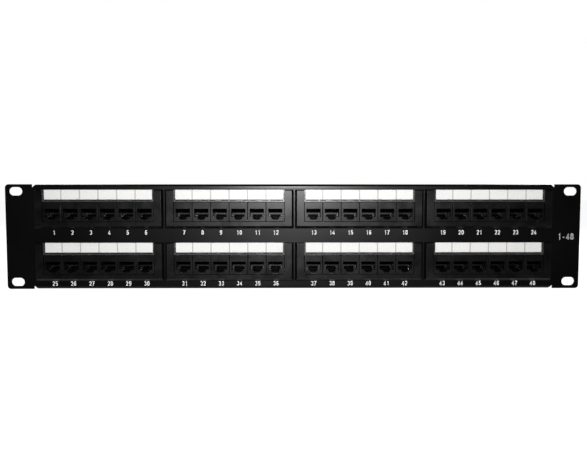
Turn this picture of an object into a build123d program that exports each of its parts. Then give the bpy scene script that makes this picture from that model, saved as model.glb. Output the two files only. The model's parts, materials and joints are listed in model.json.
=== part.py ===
from build123d import *
import os

os.makedirs("parts", exist_ok=True)

# A 48-port unshielded patch panel for a 19-inch rack, two rack units high.
# Frame: +X to the right as seen from the front, +Y into the rack, +Z up.
# Origin: the centre of the four rack slots, on the plane that seats on the rack rails.
# All lengths are in millimetres.

# ------------------------------------------------------------------ folded steel panel
PANEL_WIDTH = 482.6
PANEL_HEIGHT = 88.0
STEEL = 1.5
EAR_CORNER_R = 3.0
SLOT_SPACING_X = 465.14
SLOT_SPACING_Z = 76.2
SLOT_LENGTH = 11.2
SLOT_HEIGHT = 7.0
BODY_HALF_WIDTH = 216.2     # the folds' full length, between the ears
NOTCH_OUTER_X = 219.3       # upright side of each relief notch
NOTCH_FLOOR = 0.8
BEND_R = 2.5                # outside of the folds, and the depth of the notches
FLANGE_DEPTH = 14.0         # front face to the flanges' rear edges
WINDOW_CORNER_R = 0.6

# ------------------------------------------------------------------ layout of the modules
MODULE_COLUMNS = 4
MODULE_PITCH = 108.9
ROW_CENTRES_Z = (23.3, -21.0)
PORTS_PER_MODULE = 6
PORT_PITCH = 15.39

# Within a module, x is from the module's centre, z from its row's centre line,
# and y from the front face of the steel, so that y is negative in front of the steel.

# ------------------------------------------------------------------ bezel
BEZEL_WIDTH = 107.8
BEZEL_HALF_HEIGHT = 16.3
BEZEL_PROUD = 3.2
BEZEL_RIM = 0.5             # upright edge below the slopes
BEZEL_FACE_WIDTH = 104.6
BEZEL_FACE_LOW = -14.17
BEZEL_FACE_HIGH = 15.37
BEZEL_WALL = 1.6
BEZEL_EDGE_R = 0.25
SKIRT_HALF_WIDTH = 52.3
SKIRT_HALF_HEIGHT = 14.7
SKIRT_CLEARANCE = 0.2       # between the skirt and its window in the steel
JACK_WINDOW_HALF_WIDTH = 46.4
JACK_WINDOW_LOW = -10.65
JACK_WINDOW_HIGH = 5.9
SEAT_Y = -1.8               # the label lies on this face
SEAT_THICKNESS = 1.4
SEAT_OVERLAP = 1.0
BARB_X = 26.0
BARB_WIDTH = 8.0
BARB_HEIGHT = 0.9
BARB_LENGTH = 2.5
BARB_GAP = 0.1

# ------------------------------------------------------------------ board and its screws
BOARD_FRONT = 13.0
BOARD_THICKNESS = 1.6
BOARD_WIDTH = 107.5
BOARD_HEIGHT = 34.0
BOARD_REAR = BOARD_FRONT + BOARD_THICKNESS
SCREW_X = 49.4
SCREW_Z = 9.0
BOSS_R = 2.7
SCREW_R = 1.2
SCREW_HOLE_R = 1.25
SCREW_LENGTH = 9.0
SCREW_CLEARANCE_R = 1.6
SCREW_HEAD_R = 2.6
SCREW_HEAD_HEIGHT = 1.6
SCREW_RECESS = 0.8
RECESS_ARM_LENGTH = 3.0
RECESS_ARM_WIDTH = 0.7
SCREW_TIP_GAP = 0.2

# ------------------------------------------------------------------ label and clear cover
LABEL_WIDTH = 89.6
LABEL_LOW = 8.0
LABEL_HIGH = 16.1
LABEL_THICKNESS = 0.25
COVER_HALF_WIDTH = 46.25
COVER_LOW = 5.98
COVER_HIGH = 16.2
COVER_BACK = -2.5           # rear face of the clear front plate
COVER_REST = -1.85          # rear face of the cover's rim
COVER_RIM_SIDE = 1.2
COVER_RIM_LOW = 1.0
COVER_EDGE_R = 0.2
RIBS = 5
RIB_PITCH = 16.9
RIB_WIDTH = 0.6
RIB_HEIGHT = 0.9
PAD_WIDTH = 5.0
PAD_HEIGHT = 0.45
TAB_INNER_X = 45.15
TAB_WIDTH = 1.0
TAB_LOW = 8.2
TAB_HIGH = 12.7
TAB_END = 1.0
TAB_CLEARANCE = 0.15

# ------------------------------------------------------------------ modular jack
JACK_WIDTH = 15.04
JACK_FACE = -3.0
JACK_LOW = -10.35
JACK_HIGH = 5.7
JACK_EDGE_R = 0.2
MOUTH_TOP_WIDTH = 12.6
MOUTH_BOTTOM_WIDTH = 13.6
MOUTH_DEPTH = 6.0
MOUTH_TAPER = 4.0           # degrees
PLUG_HALF_WIDTH = 5.975
PLUG_TOP = 0.3
PLUG_BOTTOM = -6.7
LATCH_HALF_WIDTH = 3.25
LATCH_BOTTOM = -8.25
TAIL_HALF_WIDTH = 2.15      # the narrow notch that the latch's tail passes
TAIL_BOTTOM = -10.1
TAIL_RECESS = 0.9
RAMP_LOW = -8.95
RAMP_LENGTH = 2.7
CATCH_START = 1.6           # the catch that holds the plug's latch
CATCH_LENGTH = 2.6
CATCH_HEIGHT = 1.0
CATCH_WIDTH = 1.5
POCKET_HALF_WIDTH = 4.4     # room for the contacts above the plug
POCKET_TOP = 2.4
LIP_THICKNESS = 1.7

# ------------------------------------------------------------------ contact carrier
CARRIER_FRONT = 7.5
CARRIER_BACKPLATE = 12.0
CARRIER_REAR = 12.8
CARRIER_HALF_WIDTH = 5.8
CARRIER_INNER_HALF = 4.4
CARRIER_TOP = -3.5
CARRIER_BAR = 1.25
CARRIER_BOTTOM = -6.55
BACKPLATE_TOP = 0.15

# ------------------------------------------------------------------ jack contacts
CONTACTS_PER_JACK = 8
CONTACT_PITCH = 1.02
CONTACT_WIDTH = 0.45
CONTACT_THICKNESS = 0.3
CONTACT_ROUTE = [(BOARD_FRONT, 1.7), (-0.45, 1.7), (-0.9, 1.3), (-0.8, 0.7), (-0.2, 0.3), (7.0, -1.55)]

# ------------------------------------------------------------------ wiring blocks behind
BLOCK_COLUMNS = 3
BLOCK_PITCH = 30.48
BLOCK_WIDTH = 30.3
BLOCK_ROW_Z = 8.2
BLOCK_HALF_HEIGHT = 5.25
FIN_HALF_HEIGHT = 4.3
FIN_TIP_HALF_HEIGHT = 2.9
SHOULDER_Y = 20.0
SLOT_FLOOR_Y = 22.0
FIN_TIP_Y = 30.0
PAIR_FIN_TIP_Y = 31.6
TIP_SLOPE = 1.3
TIP_INSET = 0.35            # of a fin's width, sloped off at each side of its tip
WIRES_PER_BLOCK = 8
WIRE_PITCH = 3.81
WIRE_SLOT = 1.1
BLADE_HALF_WIDTH = 1.35
BLADE_THICKNESS = 0.44
BLADE_CLEARANCE = 0.08
BLADE_TIP_Y = 28.5
BLADE_SHOULDER = 0.7
BLADE_MOUTH_HALF = 0.8
BLADE_MOUTH_DEPTH = 1.1
BLADE_SLIT_HALF = 0.2
BLADE_SLIT_FLOOR_Y = 21.5
WIRING_LABEL_WIDTH = 91.0
WIRING_LABEL_HEIGHT = 5.2
WIRING_LABEL_THICKNESS = 0.15

OVERCUT = 1.0               # how far a cutting shape runs past the face it opens


# ------------------------------------------------------------------ shared shapes
def block(x0, x1, y0, y1, z0, z1):
    """A box given by its two opposite corners."""
    centre = ((x0 + x1) / 2, (y0 + y1) / 2, (z0 + z1) / 2)
    return Pos(*centre) * Box(x1 - x0, y1 - y0, z1 - z0)


def across(half_width, y0, y1, z0, z1):
    """A box centred on x = 0."""
    return block(-half_width, half_width, y0, y1, z0, z1)


def extruded_along_x(points_yz, width):
    """A closed outline in the y-z plane, extruded by half its width to each side."""
    outline = make_face(Plane.YZ * Polyline(*points_yz, close=True))
    return extrude(outline, amount=width / 2, both=True)


def extruded_along_z(points_xy, thickness):
    """A closed outline in the x-y plane, extruded by half its thickness up and down."""
    outline = make_face(Polyline(*points_xy, close=True))
    return extrude(outline, amount=thickness / 2, both=True)


def strip_outline(route, thickness):
    """The outline of a thin strip that follows a route, with mitred bends."""
    sides = ([], [])
    for i, here in enumerate(route):
        before = route[max(i - 1, 0)]
        after = route[min(i + 1, len(route) - 1)]
        normals = []
        for start, end in ((before, here), (here, after)):
            run = Vector(end[0] - start[0], end[1] - start[1])
            if run.length > 0:
                normals.append(Vector(-run.Y, run.X).normalized())
        mean = sum(normals, Vector()).normalized()
        reach = thickness / 2 / mean.dot(normals[0])
        for side, sign in zip(sides, (1, -1)):
            side.append((here[0] + sign * reach * mean.X, here[1] + sign * reach * mean.Y))
    return sides[0] + sides[1][::-1]


def row_of(shape, count, pitch):
    """Copies of a shape side by side along x, centred on x = 0."""
    return [Pos((i - (count - 1) / 2) * pitch, 0, 0) * shape for i in range(count)]


def save(name, shapes):
    export_step(Compound(children=[copy_of(shape) for shape in shapes]), f"parts/{name}.step")


def copy_of(shape):
    """The plain solid of a shape, free of any construction history."""
    return Solid(shape.solid().wrapped)


# ------------------------------------------------------------------ steel panel
def panel_frame():
    half_height = PANEL_HEIGHT / 2
    flat_half_height = half_height - BEND_R
    body_half_width = NOTCH_OUTER_X - NOTCH_FLOOR
    rear = FLANGE_DEPTH - STEEL

    def channel(front, half, radius, length):
        section = Plane.YZ * Pos((front + length) / 2, 0) * Rectangle(length - front, 2 * half)
        corners = section.vertices().group_by(Axis.Y)[0]
        return extrude(fillet(corners, radius), amount=body_half_width, both=True)

    outside = channel(-STEEL, half_height, BEND_R, rear)
    inside = channel(0, half_height - STEEL, BEND_R - STEEL, rear + OVERCUT)
    frame = outside - inside

    # each fold's end slopes back from the floor of its relief notch
    run_out = body_half_width - BODY_HALF_WIDTH
    slope = Plane.XZ * Polyline(
        (body_half_width, flat_half_height),
        (body_half_width - 2 * run_out, flat_half_height + 2 * BEND_R),
        (body_half_width + OVERCUT, flat_half_height + 2 * BEND_R),
        (body_half_width + OVERCUT, flat_half_height),
        close=True,
    )
    fold_end = extrude(make_face(slope), amount=2 * FLANGE_DEPTH, both=True)
    for end in (fold_end, fold_end.mirror(Plane.XY)):
        frame = frame - end - end.mirror(Plane.YZ)

    upper_edge = [
        (BODY_HALF_WIDTH, flat_half_height),
        (NOTCH_OUTER_X, flat_half_height),
        (NOTCH_OUTER_X, half_height),
        (PANEL_WIDTH / 2, half_height),
    ]
    lower_edge = [(x, -z) for x, z in reversed(upper_edge)]
    outline = make_face(Plane.XZ * Polyline(*upper_edge, *lower_edge, close=True))
    outline = fillet(outline.vertices().sort_by(Axis.X)[-2:], EAR_CORNER_R)
    ear = extrude(outline, amount=STEEL, dir=(0, -1, 0))
    frame = frame + ear + ear.mirror(Plane.YZ)

    cuts = []
    for x in (-SLOT_SPACING_X / 2, SLOT_SPACING_X / 2):
        for z in (-SLOT_SPACING_Z / 2, SLOT_SPACING_Z / 2):
            cuts.append(Plane.XZ * Pos(x, z) * SlotOverall(SLOT_LENGTH, SLOT_HEIGHT))
    window_width = 2 * (SKIRT_HALF_WIDTH + SKIRT_CLEARANCE)
    window_height = 2 * (SKIRT_HALF_HEIGHT + SKIRT_CLEARANCE)
    for x, z in module_centres():
        window = RectangleRounded(window_width, window_height, WINDOW_CORNER_R)
        cuts.append(Plane.XZ * Pos(x, z) * window)
    for cut in cuts:
        frame -= extrude(cut, amount=STEEL + OVERCUT, both=True)
    return frame


def module_centres():
    """Module centres in numbering order: the upper row from the left, then the lower row."""
    middle = (MODULE_COLUMNS - 1) / 2
    return [((i - middle) * MODULE_PITCH, z) for z in ROW_CENTRES_Z for i in range(MODULE_COLUMNS)]


# ------------------------------------------------------------------ bezel
def bezel():
    half_width = BEZEL_WIDTH / 2
    height = 2 * BEZEL_HALF_HEIGHT
    side_slope = (BEZEL_WIDTH - BEZEL_FACE_WIDTH) / 2
    slopes = Wedge(
        BEZEL_WIDTH, BEZEL_PROUD - BEZEL_RIM, height,
        side_slope, BEZEL_FACE_LOW + BEZEL_HALF_HEIGHT,
        BEZEL_WIDTH - side_slope, BEZEL_FACE_HIGH + BEZEL_HALF_HEIGHT,
        align=(Align.CENTER, Align.MIN, Align.MIN),
    )
    front = Pos(0, -BEZEL_RIM, -BEZEL_HALF_HEIGHT) * Rot(0, 0, 180) * slopes
    front += across(half_width, -BEZEL_RIM, 0, -BEZEL_HALF_HEIGHT, BEZEL_HALF_HEIGHT)
    front = fillet(front.edges().group_by(Axis.Y)[0], BEZEL_EDGE_R)

    skirt = across(SKIRT_HALF_WIDTH, -BEZEL_RIM, BOARD_FRONT, -SKIRT_HALF_HEIGHT, SKIRT_HALF_HEIGHT)
    inner_x = SKIRT_HALF_WIDTH - BEZEL_WALL
    inner_z = SKIRT_HALF_HEIGHT - BEZEL_WALL
    hollow = across(inner_x, BEZEL_WALL - BEZEL_PROUD, BOARD_FRONT + OVERCUT, -inner_z, inner_z)
    shell = front + skirt - hollow
    seat_half = JACK_WINDOW_HALF_WIDTH + SEAT_OVERLAP
    shell += across(seat_half, SEAT_Y, SEAT_Y + SEAT_THICKNESS, JACK_WINDOW_HIGH, inner_z)

    in_front = -BEZEL_PROUD - OVERCUT
    shell -= across(JACK_WINDOW_HALF_WIDTH, in_front, 0, JACK_WINDOW_LOW, JACK_WINDOW_HIGH)
    shell -= across(JACK_WINDOW_HALF_WIDTH, in_front, SEAT_Y, JACK_WINDOW_HIGH, BEZEL_HALF_HEIGHT + OVERCUT)

    for x in (-SCREW_X, SCREW_X):
        for z in (-SCREW_Z, SCREW_Z):
            post = Cylinder(BOSS_R, BOARD_FRONT + BEZEL_WALL, align=(Align.CENTER, Align.CENTER, Align.MAX))
            hole = Cylinder(SCREW_HOLE_R, SCREW_LENGTH, align=(Align.CENTER, Align.CENTER, Align.MAX))
            at_board = Pos(x, BOARD_FRONT, z) * Rot(-90, 0, 0)
            shell = shell + at_board * post - at_board * hole

    for side in (1, -1):
        tab_slot = block(
            TAB_INNER_X - TAB_CLEARANCE, TAB_INNER_X + TAB_WIDTH + TAB_CLEARANCE,
            SEAT_Y - OVERCUT, SEAT_Y + SEAT_THICKNESS + OVERCUT,
            TAB_LOW - TAB_CLEARANCE, TAB_HIGH + TAB_CLEARANCE,
        )
        shell -= tab_slot if side > 0 else tab_slot.mirror(Plane.YZ)

    barb_start = STEEL + BARB_GAP
    barb_section = [
        (barb_start, SKIRT_HALF_HEIGHT - BARB_GAP),
        (barb_start, SKIRT_HALF_HEIGHT + BARB_HEIGHT),
        (barb_start + BARB_LENGTH, SKIRT_HALF_HEIGHT),
        (barb_start + BARB_LENGTH, SKIRT_HALF_HEIGHT - BARB_GAP),
    ]
    barb = extruded_along_x(barb_section, BARB_WIDTH)
    for x in (-BARB_X, BARB_X):
        shell += Pos(x, 0, 0) * barb
        shell += Pos(x, 0, 0) * barb.mirror(Plane.XY)
    return shell


# ------------------------------------------------------------------ label strip and clear cover
def label_strip():
    return across(LABEL_WIDTH / 2, SEAT_Y - LABEL_THICKNESS, SEAT_Y, LABEL_LOW, LABEL_HIGH)


def label_cover():
    plate = across(COVER_HALF_WIDTH, -BEZEL_PROUD, COVER_BACK, COVER_LOW, COVER_HIGH)
    cover = fillet(plate.edges().group_by(Axis.Y)[0], COVER_EDGE_R)
    rim_top = COVER_LOW + COVER_RIM_LOW
    cover += across(COVER_HALF_WIDTH, COVER_BACK, COVER_REST, COVER_LOW, rim_top)
    inner = COVER_HALF_WIDTH - COVER_RIM_SIDE
    end_rim = block(inner, COVER_HALF_WIDTH, COVER_BACK, COVER_REST, COVER_LOW, COVER_HIGH)
    tab = block(TAB_INNER_X, TAB_INNER_X + TAB_WIDTH, COVER_REST, TAB_END, TAB_LOW, TAB_HIGH)
    for piece in (end_rim, tab):
        cover = cover + piece + piece.mirror(Plane.YZ)
    rib = across(RIB_WIDTH / 2, COVER_BACK, COVER_REST, rim_top, rim_top + RIB_HEIGHT)
    pad = across(PAD_WIDTH / 2, COVER_BACK, COVER_REST, rim_top, rim_top + PAD_HEIGHT)
    for piece in row_of(rib, RIBS, RIB_PITCH) + row_of(pad, RIBS - 1, RIB_PITCH):
        cover += piece
    return cover


# ------------------------------------------------------------------ modular jack
def jack_housing():
    body = across(JACK_WIDTH / 2, JACK_FACE, BOARD_FRONT, JACK_LOW, JACK_HIGH)
    body = fillet(body.edges().group_by(Axis.Y)[0], JACK_EDGE_R)

    mouth = Plane.XZ * Polyline(
        (-MOUTH_TOP_WIDTH / 2, PLUG_TOP), (MOUTH_TOP_WIDTH / 2, PLUG_TOP),
        (MOUTH_BOTTOM_WIDTH / 2, PLUG_BOTTOM), (-MOUTH_BOTTOM_WIDTH / 2, PLUG_BOTTOM),
        close=True,
    )
    body -= Pos(0, JACK_FACE, 0) * extrude(make_face(mouth), amount=-MOUTH_DEPTH, taper=MOUTH_TAPER)

    front = JACK_FACE - OVERCUT
    rear = BOARD_FRONT + OVERCUT
    body -= across(PLUG_HALF_WIDTH, front, rear, PLUG_BOTTOM, PLUG_TOP)
    body -= across(LATCH_HALF_WIDTH, front, CARRIER_REAR, LATCH_BOTTOM, PLUG_BOTTOM + OVERCUT)
    body -= across(POCKET_HALF_WIDTH, JACK_FACE + LIP_THICKNESS, rear, PLUG_TOP - OVERCUT, POCKET_TOP)

    recess = JACK_FACE + TAIL_RECESS
    tail_notch = [
        (front, LATCH_BOTTOM + OVERCUT),
        (front, TAIL_BOTTOM),
        (recess, TAIL_BOTTOM),
        (recess, RAMP_LOW),
        (recess + RAMP_LENGTH, LATCH_BOTTOM),
        (recess + RAMP_LENGTH, LATCH_BOTTOM + OVERCUT),
    ]
    body -= extruded_along_x(tail_notch, 2 * TAIL_HALF_WIDTH)

    catch_section = [
        (CATCH_START, LATCH_BOTTOM),
        (CATCH_START + CATCH_LENGTH, LATCH_BOTTOM + CATCH_HEIGHT),
        (CATCH_START + CATCH_LENGTH, LATCH_BOTTOM),
    ]
    catch = extruded_along_x(catch_section, CATCH_WIDTH)
    catch_x = LATCH_HALF_WIDTH - CATCH_WIDTH / 2
    for x in (-catch_x, catch_x):
        body += Pos(x, 0, 0) * catch
    return body


def contact_carrier():
    carrier = across(CARRIER_HALF_WIDTH, CARRIER_FRONT, CARRIER_REAR, CARRIER_BOTTOM, CARRIER_TOP)
    carrier += across(CARRIER_HALF_WIDTH, CARRIER_BACKPLATE, CARRIER_REAR, CARRIER_TOP, BACKPLATE_TOP)
    front = CARRIER_FRONT - OVERCUT
    low = CARRIER_BOTTOM - OVERCUT
    carrier -= across(CARRIER_INNER_HALF, front, CARRIER_BACKPLATE, low, CARRIER_TOP - CARRIER_BAR)
    return carrier


def jack_contacts():
    """The eight sprung contacts of one jack."""
    contact = extruded_along_x(strip_outline(CONTACT_ROUTE, CONTACT_THICKNESS), CONTACT_WIDTH)
    return row_of(contact, CONTACTS_PER_JACK, CONTACT_PITCH)


# ------------------------------------------------------------------ circuit board and screws
def circuit_board():
    board = across(BOARD_WIDTH / 2, BOARD_FRONT, BOARD_REAR, -BOARD_HEIGHT / 2, BOARD_HEIGHT / 2)
    for x in (-SCREW_X, SCREW_X):
        for z in (-SCREW_Z, SCREW_Z):
            board -= Pos(x, BOARD_FRONT, z) * Rot(90, 0, 0) * Cylinder(SCREW_CLEARANCE_R, 3 * BOARD_THICKNESS)
    return board


def board_screws():
    """The four screws of one module, driven from behind into the bezel's posts."""
    towards_front = (Align.CENTER, Align.CENTER, Align.MAX)
    towards_rear = (Align.CENTER, Align.CENTER, Align.MIN)
    shank = Cylinder(SCREW_R, SCREW_LENGTH + BOARD_THICKNESS - SCREW_TIP_GAP, align=towards_front)
    head = Cylinder(SCREW_HEAD_R, SCREW_HEAD_HEIGHT, align=towards_rear)
    head = fillet(head.edges().sort_by(Axis.Z)[-1], SCREW_HEAD_HEIGHT / 2)
    screw = shank + head
    arm = Box(RECESS_ARM_LENGTH, RECESS_ARM_WIDTH, 2 * SCREW_RECESS)
    recess = Pos(0, 0, SCREW_HEAD_HEIGHT)
    screw = screw - recess * arm - recess * Rot(0, 0, 90) * arm
    return [
        Pos(x, BOARD_REAR, z) * Rot(-90, 0, 0) * screw
        for x in (-SCREW_X, SCREW_X)
        for z in (-SCREW_Z, SCREW_Z)
    ]


# ------------------------------------------------------------------ wiring blocks
def wire_positions():
    return [(i - (WIRES_PER_BLOCK - 1) / 2) * WIRE_PITCH for i in range(WIRES_PER_BLOCK)]


def wiring_block():
    """One block of eight wire slots, with a taller fin between the pairs."""
    half = BLOCK_WIDTH / 2
    edges = [-half - WIRE_SLOT / 2] + wire_positions() + [half + WIRE_SLOT / 2]
    outline = [(-half, BOARD_REAR)]
    for i, (previous, following) in enumerate(zip(edges, edges[1:])):
        left = previous + WIRE_SLOT / 2
        right = following - WIRE_SLOT / 2
        tip = PAIR_FIN_TIP_Y if i % 2 == 0 else FIN_TIP_Y
        inset = TIP_INSET * (right - left)
        outline += [
            (left, SLOT_FLOOR_Y), (left, tip - TIP_SLOPE), (left + inset, tip),
            (right - inset, tip), (right, tip - TIP_SLOPE), (right, SLOT_FLOOR_Y),
        ]
    outline = [outline[0]] + outline[2:-1] + [(half, BOARD_REAR)]
    comb = extruded_along_z(outline, 2 * BLOCK_HALF_HEIGHT)

    side = [
        (BOARD_REAR, BLOCK_HALF_HEIGHT), (SHOULDER_Y, BLOCK_HALF_HEIGHT), (SHOULDER_Y, FIN_HALF_HEIGHT),
        (FIN_TIP_Y - TIP_SLOPE, FIN_HALF_HEIGHT), (PAIR_FIN_TIP_Y, FIN_TIP_HALF_HEIGHT),
    ]
    side += [(y, -z) for y, z in reversed(side)]
    wiring = comb & extruded_along_x(side, BLOCK_WIDTH)

    half_slot = BLADE_HALF_WIDTH + BLADE_CLEARANCE
    half_gap = BLADE_THICKNESS / 2 + BLADE_CLEARANCE
    for x in wire_positions():
        wiring -= block(
            x - half_slot, x + half_slot,
            BOARD_REAR - OVERCUT, PAIR_FIN_TIP_Y + OVERCUT,
            -half_gap, half_gap,
        )
    return wiring


def wiring_blades():
    """The slit blades of one block, one for each wire."""
    outline = [
        (BLADE_HALF_WIDTH, BOARD_REAR),
        (BLADE_HALF_WIDTH, BLADE_TIP_Y - BLADE_SHOULDER),
        (BLADE_MOUTH_HALF, BLADE_TIP_Y),
        (BLADE_SLIT_HALF, BLADE_TIP_Y - BLADE_MOUTH_DEPTH),
        (BLADE_SLIT_HALF, BLADE_SLIT_FLOOR_Y),
    ]
    outline += [(-x, y) for x, y in reversed(outline)]
    blade = extruded_along_z(outline, BLADE_THICKNESS)
    return [Pos(x, 0, 0) * blade for x in wire_positions()]


def block_places():
    return [
        Pos((i - (BLOCK_COLUMNS - 1) / 2) * BLOCK_PITCH, 0, z)
        for z in (BLOCK_ROW_Z, -BLOCK_ROW_Z)
        for i in range(BLOCK_COLUMNS)
    ]


def wiring_label():
    rear = BOARD_REAR + WIRING_LABEL_THICKNESS
    half_height = WIRING_LABEL_HEIGHT / 2
    return across(WIRING_LABEL_WIDTH / 2, BOARD_REAR, rear, -half_height, half_height)


# ------------------------------------------------------------------ the whole panel
def in_every_port(shapes):
    """Copies of one jack's shapes for the six ports of a module."""
    return [copy for shape in shapes for copy in row_of(shape, PORTS_PER_MODULE, PORT_PITCH)]


module_pieces = {
    "bezel": [bezel()],
    "label_strip": [label_strip()],
    "label_cover": [label_cover()],
    "jack_housings": in_every_port([jack_housing()]),
    "circuit_board": [circuit_board()],
}
block_shape = wiring_block()
module_pieces["wiring_blocks"] = [place * block_shape for place in block_places()]

row_pieces = {
    "contact_carriers": in_every_port([contact_carrier()]),
    "jack_contacts": in_every_port(jack_contacts()),
    "wiring_blades": [place * blade for place in block_places() for blade in wiring_blades()],
}
panel_pieces = {
    "board_screws": board_screws(),
    "wiring_labels": [wiring_label()],
}

placements = [Pos(x, -STEEL, z) for x, z in module_centres()]
rows = {"upper": placements[:MODULE_COLUMNS], "lower": placements[MODULE_COLUMNS:]}

save("panel_frame", [panel_frame()])
for name, shapes in module_pieces.items():
    for number, place in enumerate(placements, start=1):
        save(f"{name}_{number}", [place * shape for shape in shapes])
for name, shapes in row_pieces.items():
    for row, places in rows.items():
        save(f"{name}_{row}_row", [place * shape for place in places for shape in shapes])
for name, shapes in panel_pieces.items():
    save(name, [place * shape for place in placements for shape in shapes])
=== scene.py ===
import json
import math

import bmesh
import bpy
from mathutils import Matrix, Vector


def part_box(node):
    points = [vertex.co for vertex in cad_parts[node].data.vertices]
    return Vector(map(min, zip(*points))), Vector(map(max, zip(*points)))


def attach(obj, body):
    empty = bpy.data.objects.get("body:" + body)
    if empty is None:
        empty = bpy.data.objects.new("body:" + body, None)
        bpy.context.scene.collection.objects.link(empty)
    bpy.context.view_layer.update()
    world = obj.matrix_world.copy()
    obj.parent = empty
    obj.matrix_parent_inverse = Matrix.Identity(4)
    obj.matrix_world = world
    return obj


# A 48-port patch panel, seen from the front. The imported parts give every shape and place,
# and this script gives them their materials, printed marks, lights and camera.
# All lengths are in metres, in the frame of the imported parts.

MM = 0.001
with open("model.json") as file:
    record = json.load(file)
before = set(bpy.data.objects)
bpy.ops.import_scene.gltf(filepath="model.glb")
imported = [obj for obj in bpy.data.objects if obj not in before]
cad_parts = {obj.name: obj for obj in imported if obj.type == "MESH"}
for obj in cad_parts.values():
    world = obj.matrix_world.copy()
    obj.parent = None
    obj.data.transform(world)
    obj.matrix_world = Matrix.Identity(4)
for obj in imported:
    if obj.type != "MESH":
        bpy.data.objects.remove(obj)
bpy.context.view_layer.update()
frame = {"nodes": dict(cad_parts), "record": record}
nodes = frame["nodes"]


# ------------------------------------------------------------------ node helpers
class Material:
    """A node material with one Principled shader, and short ways to feed it."""

    def __init__(self, name):
        self.material = bpy.data.materials.new(name)
        self.material.use_nodes = True
        self.tree = self.material.node_tree
        self.shader = self.tree.nodes["Principled BSDF"]
        self.coordinates = self.node("ShaderNodeTexCoord").outputs["Object"]

    def node(self, kind, inputs=None, **settings):
        """A new node, with its settings, and with values or other nodes' outputs for its inputs."""
        made = self.tree.nodes.new(kind)
        for name, value in settings.items():
            setattr(made, name, value)
        for name, value in (inputs or {}).items():
            self.feed(made.inputs[name], value)
        return made

    def feed(self, socket, value):
        if isinstance(value, bpy.types.NodeSocket):
            self.tree.links.new(value, socket)
        else:
            socket.default_value = value

    def set(self, **values):
        """Values for the shader's inputs, whose names have _ for a space."""
        for name, value in values.items():
            self.feed(self.shader.inputs[name.replace("_", " ")], value)

    def math(self, operation, a, b=0.0):
        made = self.node("ShaderNodeMath", operation=operation)
        self.feed(made.inputs[0], a)
        self.feed(made.inputs[1], b)
        return made.outputs[0]

    def noise(self, grain, detail=3.0, roughness=0.5, distortion=0.0):
        """Noise whose features are about grain metres across."""
        inputs = {
            "Vector": self.coordinates, "Scale": 1.0 / grain, "Detail": detail,
            "Roughness": roughness, "Distortion": distortion,
        }
        return self.node("ShaderNodeTexNoise", inputs).outputs["Fac"]

    def between(self, value, low, high, from_low=0.3, from_high=0.7):
        """A value carried from one range of numbers to another, and held at its ends."""
        inputs = {"Value": value, "From Min": from_low, "From Max": from_high, "To Min": low, "To Max": high}
        return self.node("ShaderNodeMapRange", inputs).outputs["Result"]

    def ramp(self, value, stops):
        """A colour that follows a value through (position, colour) stops."""
        made = self.node("ShaderNodeValToRGB")
        elements = made.color_ramp.elements
        while len(elements) < len(stops):
            elements.new(0.5)
        for element, (position, colour) in zip(elements, stops):
            element.position = position
            element.color = (*colour, 1.0)
        self.feed(made.inputs["Fac"], value)
        return made.outputs["Color"]

    def mix(self, factor, first, second):
        made = self.node("ShaderNodeMix", data_type="RGBA")
        self.feed(made.inputs["Factor"], factor)
        self.feed(made.inputs["A"], (*first, 1.0) if isinstance(first, tuple) else first)
        self.feed(made.inputs["B"], (*second, 1.0) if isinstance(second, tuple) else second)
        return made.outputs["Result"]

    def bump(self, height, depth):
        """Small relief, depth metres deep, on top of any relief that is there already."""
        inputs = {"Height": height, "Distance": depth, "Strength": 1.0}
        if self.shader.inputs["Normal"].is_linked:
            inputs["Normal"] = self.shader.inputs["Normal"].links[0].from_socket
        made = self.node("ShaderNodeBump", inputs)
        self.feed(self.shader.inputs["Normal"], made.outputs["Normal"])

    def axis(self, name):
        """How far along X, Y or Z a point is, in metres."""
        parts = self.node("ShaderNodeSeparateXYZ", {"Vector": self.coordinates})
        return parts.outputs[name]


# ------------------------------------------------------------------ materials
def powder_coat():
    """Black powder coat: a fine orange peel over the steel, in faint clouds."""
    m = Material("powder_coat")
    cloud = m.noise(60 * MM, detail=4.0)
    speck = m.noise(0.35 * MM, detail=2.0)
    m.set(
        Base_Color=m.ramp(m.math("ADD", cloud, m.math("MULTIPLY", speck, 0.4)),
                          [(0.35, (0.0002, 0.0002, 0.0002)), (0.95, (0.0008, 0.0008, 0.0008))]),
        Roughness=m.between(cloud, 0.30, 0.345),
        Specular_IOR_Level=0.27,
    )
    m.bump(m.noise(0.9 * MM, detail=2.0), 0.012 * MM)
    m.bump(m.noise(0.22 * MM, detail=1.0), 0.004 * MM)
    return m.material


# painted shade inside the jacks: past a depth the jack plastic's gloss fades down to this level
PAINTED_SHADE_SPECULAR = 0.02
PAINTED_SHADE_FADE = 1.0 * MM


def moulded_black(name, roughness, tint, specular, painted_shade_behind=None):
    """Black moulded plastic with a spark-eroded grain and slight flow clouds. Where Y is deeper than the
    given depth
    the gloss fades almost to none: painted shade in the back of a jack's hollow, standing in for the shadow
    there."""
    m = Material(name)
    cloud = m.noise(14 * MM, detail=5.0, roughness=0.6, distortion=0.6)
    grain = m.noise(0.3 * MM, detail=2.0)
    dark = tuple(0.65 * c for c in tint)
    light = tuple(1.35 * c for c in tint)
    m.set(
        Base_Color=m.ramp(m.math("ADD", m.math("MULTIPLY", cloud, 0.8), m.math("MULTIPLY", grain, 0.3)),
                          [(0.35, dark), (0.8, light)]),
        Roughness=m.between(cloud, roughness - 0.05, roughness + 0.06),
        Specular_IOR_Level=specular,
    )
    # painted shade: the gloss fades out deep in the jack, darkening its hollow as its shadow would
    if painted_shade_behind is not None:
        faded = m.between(m.axis("Y"), specular, PAINTED_SHADE_SPECULAR, painted_shade_behind, painted_shade_behind + PAINTED_SHADE_FADE)
        m.set(Specular_IOR_Level=faded)
    m.bump(grain, 0.006 * MM)
    m.bump(cloud, 0.03 * MM)
    return m.material


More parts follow.
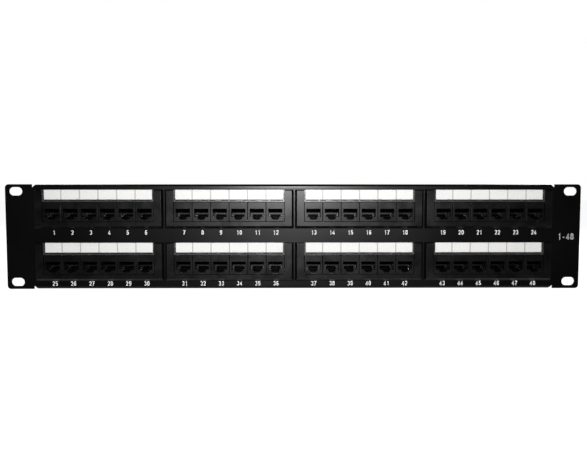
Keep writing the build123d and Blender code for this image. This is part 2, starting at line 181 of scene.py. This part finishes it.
def label_paper():
    """White card with short fibres and slightly uneven shade."""
    m = Material("label_paper")
    fibre = m.noise(0.5 * MM, detail=6.0, roughness=0.7)
    shade = m.noise(25 * MM)
    m.set(
        Base_Color=m.ramp(m.math("ADD", m.math("MULTIPLY", fibre, 0.5), m.math("MULTIPLY", shade, 0.5)),
                          [(0.3, (0.835, 0.831, 0.813)), (0.75, (0.865, 0.862, 0.849))]),
        Roughness=0.9,
        Specular_IOR_Level=0.15,
    )
    m.bump(fibre, 0.004 * MM)
    return m.material


def clear_plastic():
    """Polished clear polycarbonate, with faint scuffs in its gloss."""
    m = Material("clear_plastic")
    scuff = m.noise(3 * MM, detail=6.0, roughness=0.7, distortion=1.5)
    edge = m.node("ShaderNodeLayerWeight", {"Blend": 0.35}).outputs["Facing"]
    m.set(
        Base_Color=(0.12, 0.12, 0.12, 1.0),
        Roughness=m.between(scuff, 0.12, 0.24),
        IOR=2.0,
        Specular_IOR_Level=1.0,
        Alpha=m.between(edge, 0.10, 0.55, 0.05, 0.9),
    )
    m.bump(scuff, 0.004 * MM)
    return m.material


def frosted_edge():
    """The moulded edges of the clear covers, which gather light from the label behind them."""
    m = Material("frosted_edge")
    streak = m.noise(1.2 * MM, detail=4.0)
    m.set(
        Base_Color=m.ramp(streak, [(0.3, (0.02, 0.02, 0.02)), (0.7, (0.12, 0.12, 0.118))]),
        Roughness=0.30,
        IOR=1.9,
        Specular_IOR_Level=1.0,
        Alpha=m.between(streak, 0.2, 0.7),
    )
    m.bump(streak, 0.01 * MM)
    return m.material


def solder_mask():
    """Green solder mask over copper tracks that run both ways and wander a little."""
    m = Material("circuit_board")
    route = m.noise(9 * MM, detail=1.0)

    def tracks(axis, wander, pitch, share):
        """Tracks side by side along an axis, each as wide as its share of the pitch."""
        moved = m.math("ADD", m.axis(axis), m.math("MULTIPLY", route, wander))
        place = m.math("FRACT", m.math("MULTIPLY", moved, 1 / pitch))
        return m.math("LESS_THAN", place, share)

    along = tracks("Z", wander=4 * MM, pitch=1.27 * MM, share=0.35)
    across = tracks("X", wander=3 * MM, pitch=5.1 * MM, share=0.10)
    track = m.math("MAXIMUM", along, across)
    speck = m.noise(0.6 * MM, detail=3.0)
    base = m.mix(track, (0.006, 0.052, 0.020), (0.018, 0.115, 0.045))
    m.set(
        Base_Color=m.mix(m.between(speck, 0.0, 0.35), base, (0.008, 0.06, 0.028)),
        Roughness=m.between(speck, 0.22, 0.32),
        Specular_IOR_Level=0.5,
        Coat_Weight=0.4,
        Coat_Roughness=0.12,
    )
    m.bump(track, 0.035 * MM)
    return m.material


def natural_plastic():
    """Off-white moulded plastic of the wiring blocks."""
    m = Material("wiring_block_plastic")
    cloud = m.noise(8 * MM, detail=4.0)
    grain = m.noise(0.3 * MM, detail=2.0)
    m.set(
        Base_Color=m.ramp(cloud, [(0.3, (0.56, 0.55, 0.50)), (0.75, (0.68, 0.67, 0.62))]),
        Roughness=m.between(cloud, 0.38, 0.48),
        Specular_IOR_Level=0.45,
        Subsurface_Weight=0.08,
        Subsurface_Scale=0.6 * MM,
    )
    m.bump(grain, 0.005 * MM)
    return m.material


def plated_metal(name, colour, roughness):
    """Plated metal with a hazy shine and a very fine grain."""
    m = Material(name)
    haze = m.noise(1.5 * MM, detail=5.0)
    dull = tuple(0.78 * c for c in colour)
    m.set(
        Base_Color=m.ramp(haze, [(0.3, dull), (0.7, colour)]),
        Metallic=1.0,
        Roughness=m.between(haze, roughness - 0.05, roughness + 0.08),
    )
    m.bump(m.noise(0.15 * MM, detail=2.0), 0.002 * MM)
    return m.material


def ink(name, colour, roughness=0.6):
    """Screen-printed ink, slightly uneven in cover."""
    m = Material(name)
    cover = m.noise(0.25 * MM, detail=3.0)
    thin = tuple(0.84 * c for c in colour)
    m.set(Base_Color=m.ramp(cover, [(0.3, thin), (0.6, colour)]), Roughness=roughness, Specular_IOR_Level=0.3)
    m.bump(cover, 0.003 * MM)
    return m.material


WHITE_INK = ink("white_ink", (0.80, 0.81, 0.82))
GREY_INK = ink("grey_ink", (0.46, 0.46, 0.47))
DIVIDER_INK = ink("divider_ink", (0.56, 0.53, 0.50))
STICKER_ROUGHNESS = 0.5
STICKER_WHITE = ink("sticker_white", (0.80, 0.80, 0.78), STICKER_ROUGHNESS)
PAIR_COLOURS = {
    "blue": (0.02, 0.10, 0.50),
    "orange": (0.80, 0.22, 0.02),
    "green": (0.02, 0.30, 0.06),
    "brown": (0.16, 0.06, 0.025),
}
PAIR_INKS = [ink(f"sticker_{name}", colour, STICKER_ROUGHNESS) for name, colour in PAIR_COLOURS.items()]
# the depth in Y past which the jack plastic gets painted shade, with its gloss turned down
JACK_PAINTED_SHADE_DEPTH = 8.0 * MM

finishes = {
    "powder_coat": powder_coat(),
    "bezel_plastic": moulded_black("bezel_plastic", 0.325, (0.0014, 0.0014, 0.0015), 0.34),
    "jack_plastic": moulded_black("jack_plastic", 0.33, (0.0012, 0.0012, 0.0012), 0.33, JACK_PAINTED_SHADE_DEPTH),
    "label_paper": label_paper(),
    "clear_plastic": clear_plastic(),
    "circuit_board": solder_mask(),
    "wiring_block_plastic": natural_plastic(),
    "contact_gold": plated_metal("contact_gold", (0.62, 0.42, 0.14), 0.30),
    "blade_tin": plated_metal("blade_tin", (0.72, 0.72, 0.70), 0.34),
    "screw_steel": plated_metal("screw_steel", (0.62, 0.63, 0.66), 0.28),
    "colour_label": STICKER_WHITE,
}
slot_of = {part["node"]: part["material_slot"] for part in frame["record"]["subparts"]}
for name, node in nodes.items():
    node.data.materials.clear()
    node.data.materials.append(finishes[slot_of[name]])


# ------------------------------------------------------------------ new pieces
def mesh_piece(name, vertices, faces, body, materials, face_materials=None):
    """A mesh that rides on a body and takes the materials it is given."""
    mesh = bpy.data.meshes.new(name)
    mesh.from_pydata(vertices, [], faces)
    shell = bmesh.new()
    shell.from_mesh(mesh)
    bmesh.ops.recalc_face_normals(shell, faces=shell.faces)
    shell.to_mesh(mesh)
    shell.free()
    for material in materials:
        mesh.materials.append(material)
    for polygon, index in zip(mesh.polygons, face_materials or [0] * len(faces)):
        polygon.material_index = index
    piece = bpy.data.objects.new(name, mesh)
    bpy.context.scene.collection.objects.link(piece)
    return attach(piece, body)


def bar(x0, x1, y0, y1, z0, z1, first):
    """The vertices and faces of a closed box, whose vertices are numbered from first."""
    vertices = [(x, y, z) for x in (x0, x1) for y in (y0, y1) for z in (z0, z1)]
    quads = [(0, 1, 3, 2), (4, 6, 7, 5), (0, 4, 5, 1), (2, 3, 7, 6), (0, 2, 6, 4), (1, 5, 7, 3)]
    return vertices, [tuple(first + i for i in quad) for quad in quads]


def bars_piece(name, boxes, body, materials, box_materials=None):
    """Several closed boxes in one mesh."""
    vertices, faces, indices = [], [], []
    for i, corners in enumerate(boxes):
        new_vertices, new_faces = bar(*corners, first=len(vertices))
        vertices += new_vertices
        faces += new_faces
        indices += [box_materials[i] if box_materials else 0] * len(new_faces)
    return mesh_piece(name, vertices, faces, body, materials, indices)


def arc(x, y, wide, high, start, end, steps=14):
    """Points along an ellipse's arc, with angles in degrees from its right end."""
    angles = [math.radians(start + (end - start) * i / steps) for i in range(steps + 1)]
    return [(x + wide * math.cos(a), y + high * math.sin(a)) for a in angles]


# the pen's path for each character in a box 1 high, left and right of its middle line
STROKES = {
    "0": [arc(0, 0.5, 0.185, 0.42, 90, 450, 28)],
    "1": [[(-0.11, 0.74), (0.02, 0.80), (0.07, 0.92), (0.07, 0.0)]],
    "2": [arc(0, 0.68, 0.185, 0.24, 165, -35) + [(-0.17, 0.08), (0.22, 0.08)]],
    "3": [arc(-0.01, 0.715, 0.165, 0.205, 155, -90), arc(-0.01, 0.295, 0.195, 0.215, 90, -155)],
    "4": [[(0.08, 0.0), (0.08, 0.90), (-0.21, 0.27), (0.24, 0.27)]],
    "5": [[(0.19, 0.92), (-0.11, 0.92), (-0.155, 0.52)] + arc(-0.01, 0.33, 0.195, 0.25, 125, -155)],
    "6": [arc(0, 0.31, 0.185, 0.23, 90, 450, 24), arc(0.02, 0.52, 0.205, 0.40, 40, 205)],
    "7": [[(-0.21, 0.92), (0.20, 0.92), (0.03, 0.55), (-0.07, 0.0)]],
    "8": [arc(0, 0.71, 0.16, 0.21, 90, 450, 24), arc(0, 0.29, 0.19, 0.21, 90, 450, 24)],
    "9": [arc(0, 0.69, 0.185, 0.23, 90, 450, 24), arc(-0.02, 0.48, 0.205, 0.40, 25, -140)],
    "-": [[(-0.13, 0.38), (0.13, 0.38)]],
}
PEN_EDGES = ((0, 1), (1, 3), (3, 2), (2, 0))
ADVANCE = 0.66
STROKE_WIDTH = 0.13
LEAST_MITRE = 0.6
SAME_PLACE = 1e-6
TEXT_DEPTH = 0.03 * MM


def pen_sides(points, closed):
    """The two sides of a pen stroke along a path, mitred at its turns."""
    corners = [Vector(p) for p in points]
    steps = [(b - a).normalized() for a, b in zip(corners, corners[1:])]
    if closed:
        steps.append((corners[0] - corners[-1]).normalized())
    sides = []
    for i, corner in enumerate(corners):
        after = steps[min(i, len(steps) - 1)]
        before = steps[i - 1] if i or closed else after
        along = (before + after).normalized()
        reach = Vector((-along.y, along.x)) * (STROKE_WIDTH / 2 / max(LEAST_MITRE, along.dot(after)))
        sides.append((corner + reach, corner - reach))
    return sides


def printed_text(text, height, centre):
    """Raised print of a text on a face towards -Y, as vertices and faces."""
    x, y, z = centre
    vertices, faces = [], []
    for place, character in enumerate(text):
        shift = (place - (len(text) - 1) / 2) * ADVANCE
        for path in STROKES[character]:
            closed = math.dist(path[0], path[-1]) < SAME_PLACE
            sides = pen_sides(path[:-1] if closed else path, closed)
            first = len(vertices)
            vertices += [
                (x + (shift + point.x) * height, y - out, z + (point.y - 0.5) * height)
                for pair in sides for point in pair for out in (0, TEXT_DEPTH)
            ]
            count = len(sides)
            for i in range(count if closed else count - 1):
                here, there = first + 4 * i, first + 4 * ((i + 1) % count)
                faces += [(here + a, here + b, there + b, there + a) for a, b in PEN_EDGES]
            if not closed:
                last = first + 4 * (count - 1)
                faces += [(first, first + 1, first + 3, first + 2), (last, last + 1, last + 3, last + 2)]
    return vertices, faces


def print_piece(name, prints, body, material):
    """One mesh of many printed texts."""
    vertices, faces = [], []
    for placed, text_faces in prints:
        first = len(vertices)
        vertices += placed
        faces += [tuple(first + i for i in face) for face in text_faces]
    return mesh_piece(name, vertices, faces, body, [material])


# ------------------------------------------------------------------ ports and their numbers
MODULES = 8
PORTS = 6
PORT_PITCH = 15.39 * MM
DIGIT_HEIGHT = 3.8 * MM
DIGIT_SHIFT = 0.45 * MM         # a number stands a little right of its port's middle
UPPER_DIGITS_DROP = 3.4 * MM    # from a bezel's lower edge to the middle of its numbers
LOWER_DIGITS_DROP = 2.2 * MM
EAR_MARK_X = 229.5 * MM
EAR_MARK_HEIGHT = 5.4 * MM

frame_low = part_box("panel_frame")[0]
steel_front = frame_low.y


def module_box(kind, module):
    """The lowest and highest corners of one module's piece of a kind."""
    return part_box(f"{kind}_{module}")


def port_x(module, port):
    """The middle of a port, numbered 0 to 5 in its module."""
    low, high = module_box("bezel", module)
    return (low.x + high.x) / 2 + (port - (PORTS - 1) / 2) * PORT_PITCH


digit_prints = []
for module in range(1, MODULES + 1):
    bezel_low = module_box("bezel", module)[0]
    drop = UPPER_DIGITS_DROP if module <= MODULES // 2 else LOWER_DIGITS_DROP
    for port in range(PORTS):
        number = (module - 1) * PORTS + port + 1
        place = (port_x(module, port) + DIGIT_SHIFT, steel_front, bezel_low.z - drop)
        digit_prints.append(printed_text(str(number), DIGIT_HEIGHT, place))
print_piece("port_numbers", digit_prints, "panel", WHITE_INK)

ear_mark = printed_text("1-48", EAR_MARK_HEIGHT, (EAR_MARK_X, steel_front, 0.0))
print_piece("ear_mark", [ear_mark], "panel", GREY_INK)


# ------------------------------------------------------------------ printing on the label strips
DIVIDER_WIDTH = 1.0 * MM
PRINT_DEPTH = 0.02 * MM

for module in range(1, MODULES + 1):
    low, high = module_box("label_strip", module)
    dividers = []
    for i in range(1, PORTS):
        x = (low.x + high.x) / 2 + (i - PORTS / 2) * PORT_PITCH
        sides = (x - DIVIDER_WIDTH / 2, x + DIVIDER_WIDTH / 2)
        dividers.append((*sides, low.y - PRINT_DEPTH, low.y, low.z, high.z))
    bars_piece(f"label_dividers_{module}", dividers, "panel", [DIVIDER_INK])


# ------------------------------------------------------------------ moulded edges of the clear covers
EDGE_PROUD = 0.04 * MM
LIP_INSET = 0.25 * MM
LIP_HEIGHT = 0.4 * MM
LIP_GAP = 0.25 * MM
RIBS = 5
RIB_PITCH = 16.9 * MM
RIB_WIDTH = 1.0 * MM
RIB_HEIGHT = 1.5 * MM
DASH_WIDTH = 5.0 * MM
DASH_HEIGHT = 0.5 * MM
END_INSET = 0.45 * MM
END_WIDTH = 0.7 * MM
END_BARS = 4
END_GAP = 0.5 * MM
FROSTED = frosted_edge()

for module in range(1, MODULES + 1):
    low, high = module_box("label_cover", module)
    middle = (low.x + high.x) / 2
    front = low.y - EDGE_PROUD
    edges = [(low.x + LIP_INSET, high.x - LIP_INSET, low.z + LIP_INSET, low.z + LIP_INSET + LIP_HEIGHT)]
    above_lip = low.z + LIP_INSET + LIP_HEIGHT + LIP_GAP
    for count, width, height in ((RIBS, RIB_WIDTH, RIB_HEIGHT), (RIBS - 1, DASH_WIDTH, DASH_HEIGHT)):
        for i in range(count):
            x = middle + (i - (count - 1) / 2) * RIB_PITCH
            edges.append((x - width / 2, x + width / 2, above_lip, above_lip + height))
    bar_pitch = (high.z - low.z - 2 * LIP_INSET) / END_BARS
    for i in range(END_BARS):
        bottom = low.z + LIP_INSET + i * bar_pitch + END_GAP / 2
        for left in (low.x + END_INSET, high.x - END_INSET - END_WIDTH):
            edges.append((left, left + END_WIDTH, bottom, bottom + bar_pitch - END_GAP))
    boxes = [(x0, x1, front, low.y, z0, z1) for x0, x1, z0, z1 in edges]
    bars_piece(f"cover_edges_{module}", boxes, f"label_cover_{module}", [FROSTED])


# ------------------------------------------------------------------ colour code on the boards
WIRE_PITCH = 3.81 * MM
WIRES = 24
CODE_ROW_OFFSET = 1.7 * MM
CODE_BAR_HEIGHT = 1.5 * MM
CODE_BAR_WIDTH = 3.3 * MM
TRACER_WIDTH = 0.9 * MM

sticker_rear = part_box("wiring_labels")[1].y
for module in range(1, MODULES + 1):
    low, high = module_box("circuit_board", module)
    middle_x = (low.x + high.x) / 2
    middle_z = (low.z + high.z) / 2
    code_bars, inks = [], []
    for row in (1, -1):
        z = middle_z + row * CODE_ROW_OFFSET
        for wire in range(WIRES):
            x = middle_x + (wire - (WIRES - 1) / 2) * WIRE_PITCH
            width = TRACER_WIDTH if wire % 2 == 0 else CODE_BAR_WIDTH
            code_bars.append((
                x - width / 2, x + width / 2, sticker_rear, sticker_rear + PRINT_DEPTH,
                z - CODE_BAR_HEIGHT / 2, z + CODE_BAR_HEIGHT / 2,
            ))
            inks.append((wire // 2) % len(PAIR_INKS))
    bars_piece(f"colour_code_{module}", code_bars, "panel", PAIR_INKS, inks)


# ------------------------------------------------------------------ camera, floor and lights
CAMERA_PLACE = (-5.3 * MM, -471.5 * MM, 36.5 * MM)
CAMERA_TURN = math.radians(0.56)
CAMERA_TILT = math.radians(-3.30)
CAMERA_LENS = 34.34
SENSOR_WIDTH = 36.0
CAMERA_NEAR = 0.01


def make_camera():
    """The photograph's point of view, turned to the right and tilted down by small angles."""
    data = bpy.data.cameras.new("camera")
    data.sensor_width = SENSOR_WIDTH
    data.lens = CAMERA_LENS
    data.clip_start = CAMERA_NEAR
    camera = bpy.data.objects.new("camera", data)
    camera.location = CAMERA_PLACE
    forward = Vector((
        math.sin(CAMERA_TURN) * math.cos(CAMERA_TILT),
        math.cos(CAMERA_TURN) * math.cos(CAMERA_TILT),
        math.sin(CAMERA_TILT),
    ))
    camera.rotation_mode = "QUATERNION"
    camera.rotation_quaternion = forward.to_track_quat("-Z", "Y")
    bpy.context.scene.collection.objects.link(camera)
    bpy.context.scene.camera = camera


def area_light(name, place, target, size, power):
    """A round lamp that points at a target, with its size in metres and its power in watts."""
    data = bpy.data.lights.new(name, "AREA")
    data.shape = "DISK"
    data.size = size
    data.energy = power
    light = bpy.data.objects.new(name, data)
    light.location = place
    light.rotation_mode = "QUATERNION"
    light.rotation_quaternion = (Vector(target) - Vector(place)).to_track_quat("-Z", "Y")
    light.visible_camera = False
    bpy.context.scene.collection.objects.link(light)


FLOOR_HALF = 6.0


def make_floor():
    """A pale floor under the panel, which doesn't show in the panel's own gloss."""
    level = frame_low.z
    corners = [(x * FLOOR_HALF, y * FLOOR_HALF, level) for x, y in ((-1, -1), (1, -1), (1, 1), (-1, 1))]
    mesh = bpy.data.meshes.new("floor")
    mesh.from_pydata(corners, [], [(0, 1, 2, 3)])
    floor = bpy.data.objects.new("floor", mesh)
    bpy.context.scene.collection.objects.link(floor)
    m = Material("floor_paint")
    m.set(Base_Color=(0.25, 0.25, 0.25, 1.0), Roughness=1.0, Specular_IOR_Level=0.0,
          Emission_Color=(1.0, 1.0, 1.0, 1.0), Emission_Strength=0.93)
    mesh.materials.append(m.material)
    floor.visible_glossy = False
    floor.visible_diffuse = False


SKY_LEVEL = 0.006
GROUND_LEVEL = 0.70
SIDE_LEVEL = 0.45
BELOW_FADE = (-0.25, -0.75)
SIDE_FADE = (0.55, 0.95)


def make_world():
    """White to the camera. To the object it is nearly dark above, and brighter below and at both sides."""
    world = bpy.data.worlds.new("studio")
    bpy.context.scene.world = world
    world.use_nodes = True
    tree = world.node_tree

    def faded(value, fade, low, high):
        """A level that goes smoothly from low to high as the value goes through the fade."""
        made = tree.nodes.new("ShaderNodeMapRange")
        made.interpolation_type = "SMOOTHSTEP"
        for name, number in (("From Min", fade[0]), ("From Max", fade[1]), ("To Min", low), ("To Max", high)):
            made.inputs[name].default_value = number
        tree.links.new(value, made.inputs["Value"])
        return made.outputs["Result"]

    direction = tree.nodes.new("ShaderNodeTexCoord")
    parts = tree.nodes.new("ShaderNodeSeparateXYZ")
    tree.links.new(direction.outputs["Generated"], parts.inputs["Vector"])
    sideways = tree.nodes.new("ShaderNodeMath")
    sideways.operation = "ABSOLUTE"
    tree.links.new(parts.outputs["X"], sideways.inputs[0])
    total = tree.nodes.new("ShaderNodeMath")
    total.operation = "ADD"
    tree.links.new(faded(parts.outputs["Z"], BELOW_FADE, SKY_LEVEL, GROUND_LEVEL), total.inputs[0])
    tree.links.new(faded(sideways.outputs["Value"], SIDE_FADE, 0.0, SIDE_LEVEL), total.inputs[1])
    dim = tree.nodes["Background"]
    dim.inputs["Color"].default_value = (1.0, 1.0, 1.0, 1.0)
    tree.links.new(total.outputs["Value"], dim.inputs["Strength"])
    white = tree.nodes.new("ShaderNodeBackground")
    white.inputs["Color"].default_value = (1.0, 1.0, 1.0, 1.0)
    white.inputs["Strength"].default_value = 1.0
    chooser = tree.nodes.new("ShaderNodeMixShader")
    path = tree.nodes.new("ShaderNodeLightPath")
    tree.links.new(path.outputs["Is Camera Ray"], chooser.inputs["Fac"])
    tree.links.new(dim.outputs["Background"], chooser.inputs[1])
    tree.links.new(white.outputs["Background"], chooser.inputs[2])
    tree.links.new(chooser.outputs["Shader"], tree.nodes["World Output"].inputs["Surface"])


make_camera()
make_floor()
make_world()
area_light("key", place=(0.0, -0.50, 0.145), target=(0.0, 0.0, 0.0), size=0.08, power=4.1)
area_light("rear_left", place=(-0.55, 0.60, 0.55), target=(0.0, 0.03, 0.0), size=0.40, power=4.0)
area_light("rear_right", place=(0.60, 0.55, 0.40), target=(0.0, 0.03, 0.0), size=0.40, power=5.0)
bpy.context.scene.view_settings.view_transform = "Standard"
